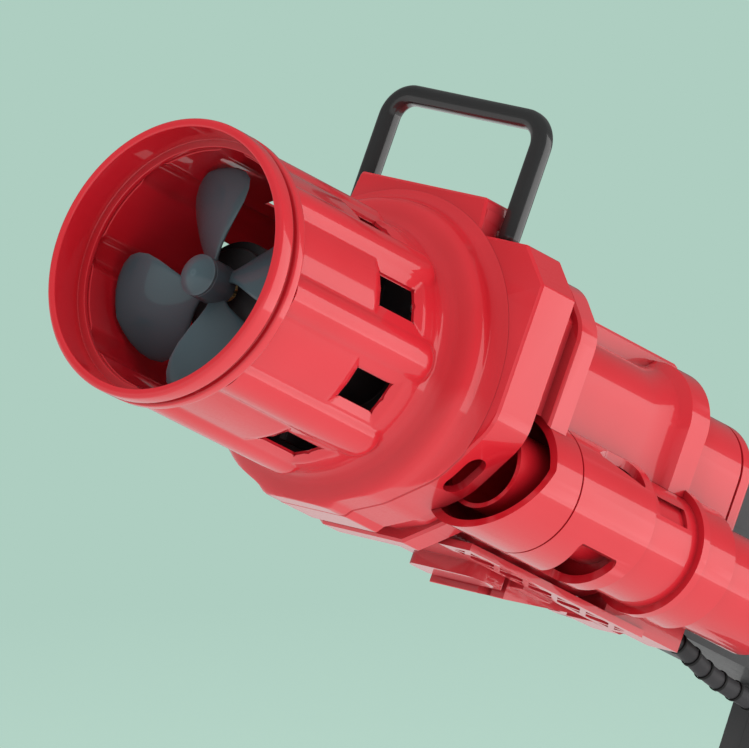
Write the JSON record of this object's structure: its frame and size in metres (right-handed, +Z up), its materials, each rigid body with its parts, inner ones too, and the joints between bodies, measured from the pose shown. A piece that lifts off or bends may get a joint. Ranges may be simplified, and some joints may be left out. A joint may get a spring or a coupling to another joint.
{
  "type": "bubble machine",
  "caption": "Handheld bubble blower shaped like a rotary cannon: fluted open barrel with a fan inside, folding carry handle, side bottle tube, stepped keel, hose and trigger grip.",
  "frame": {"origin": "centre of the muzzle bore in the muzzle's front plane", "axes": "-Y out of the muzzle, +Y towards the grip, +X the toy's left, +Z up towards the carry handle"},
  "size_m": [0.1123, 0.3764, 0.2041],
  "materials": {
    "red_plastic": "smooth glossy coral-red ABS",
    "fan_plastic": "smoky teal-grey tinted plastic",
    "handle_plastic": "glossy black",
    "grip_plastic": "satin dark grey",
    "black_plastic": "satin black",
    "hose_rubber": "satin dark grey",
    "ring_rubber": "black",
    "steel": "bright zinc-plated",
    "brass": "sintered bronze",
    "magnet": "dark ferrite",
    "cell_label": "plain two-tone sleeve",
    "wire_cover": "PVC insulation"
  },
  "bodies": {
    "housing": {"rim_ring": "red_plastic", "fluted_barrel": "red_plastic", "front_collar": "red_plastic", "collar_frame": "red_plastic", "left_shell": "red_plastic", "right_shell": "red_plastic", "top_rail": "red_plastic", "rear_cap": "red_plastic", "bottle_tube_front": "red_plastic", "bottle_tube_rear": "red_plastic", "belly_plate": "red_plastic", "belly_truss": "red_plastic", "grip_left": "grip_plastic", "grip_right": "grip_plastic", "motor_pod": "grip_plastic", "hose_socket_front": "grip_plastic", "hose_socket_rear": "grip_plastic", "switch_body": "black_plastic", "cable_hose": "hose_rubber", "hose_rings": "ring_rubber", "motor_can": "steel", "door_pin": "steel", "pod_screws": "steel", "collar_screws": "steel", "shell_screws": "steel", "grip_screws": "steel", "trigger_spring": "steel", "battery_springs": "steel", "battery_contacts": "steel", "motor_bush": "brass", "motor_magnets": "magnet", "battery_cells": "cell_label", "motor_wires": "wire_cover"},
    "fan": {"impeller": "fan_plastic", "hub_cap": "fan_plastic", "motor_shaft": "steel", "motor_rotor": "steel"},
    "carry_handle": {"carry_handle": "handle_plastic", "handle_pins": "steel"},
    "trigger": {"trigger": "black_plastic"},
    "switch_plunger": {"switch_plunger": "black_plastic"},
    "battery_door": {"battery_door": "black_plastic", "door_screw": "steel"}
  },
  "joints": [
    {"name": "fan_spin", "type": "hinge", "parent": "housing", "child": "fan", "pos_m": [0, 0.021, 0], "axis": [0, -1, 0], "continuous": true},
    {"name": "handle_fold", "type": "hinge", "parent": "housing", "child": "carry_handle", "pos_m": [0, 0.1, 0.044], "axis": [-1, 0, 0], "range_deg": [0, 80]},
    {"name": "trigger_pull", "type": "slide", "parent": "housing", "child": "trigger", "axis": [0, 1, 0], "range_m": [0, 0.004], "stiffness_N_per_m": 400, "springref_m": -0.002, "deforming": ["trigger_spring"]},
    {"name": "switch_travel", "type": "slide", "parent": "housing", "child": "switch_plunger", "axis": [0, 1, 0], "range_m": [0, 0.004]},
    {"name": "door_open", "type": "hinge", "parent": "housing", "child": "battery_door", "pos_m": [0, 0.37408, -0.11447], "axis": [1, 0, 0], "range_deg": [0, 100]}
  ],
  "couplings": [
    {"joint": "switch_travel", "follows": "trigger_pull", "ratio": 1}
  ]
}
